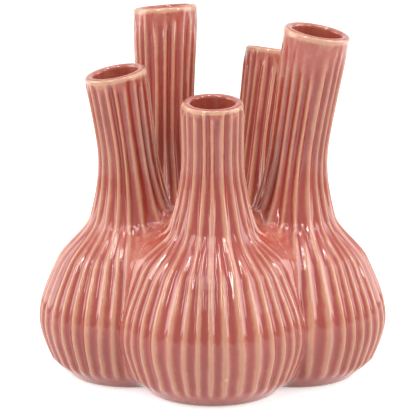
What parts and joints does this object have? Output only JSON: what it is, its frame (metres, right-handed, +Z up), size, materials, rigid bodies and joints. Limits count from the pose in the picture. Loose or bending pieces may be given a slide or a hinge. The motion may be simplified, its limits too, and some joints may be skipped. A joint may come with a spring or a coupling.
{
  "type": "five-necked gourd vase",
  "caption": "Fluted earthenware flower vase made of a ring of gourd-shaped bottles luted together, with necks cut to different heights.",
  "frame": {"origin": "centre of the flat underside, on the axis that the bottles stand round", "axes": "+Z up, -Y towards the viewer, where the shortest bottle stands"},
  "size_m": [0.2092, 0.2045, 0.2198],
  "materials": {
    "bottle_glaze": "glossy rose glaze breaking to cream on the ribs and deep red in the grooves",
    "seam_glaze": "the same glossy rose glaze, pooled a little thicker",
    "slab_glaze": "the same glossy rose glaze, thin and cream at its lowest edge"
  },
  "bodies": {
    "root": {"front_bottle": "bottle_glaze", "right_bottle": "bottle_glaze", "rear_right_bottle": "bottle_glaze", "rear_left_bottle": "bottle_glaze", "left_bottle": "bottle_glaze", "base_slab": "slab_glaze", "seam_front_right": "seam_glaze", "seam_right": "seam_glaze", "seam_rear": "seam_glaze", "seam_left": "seam_glaze", "seam_front_left": "seam_glaze"}
  },
  "joints": []
}
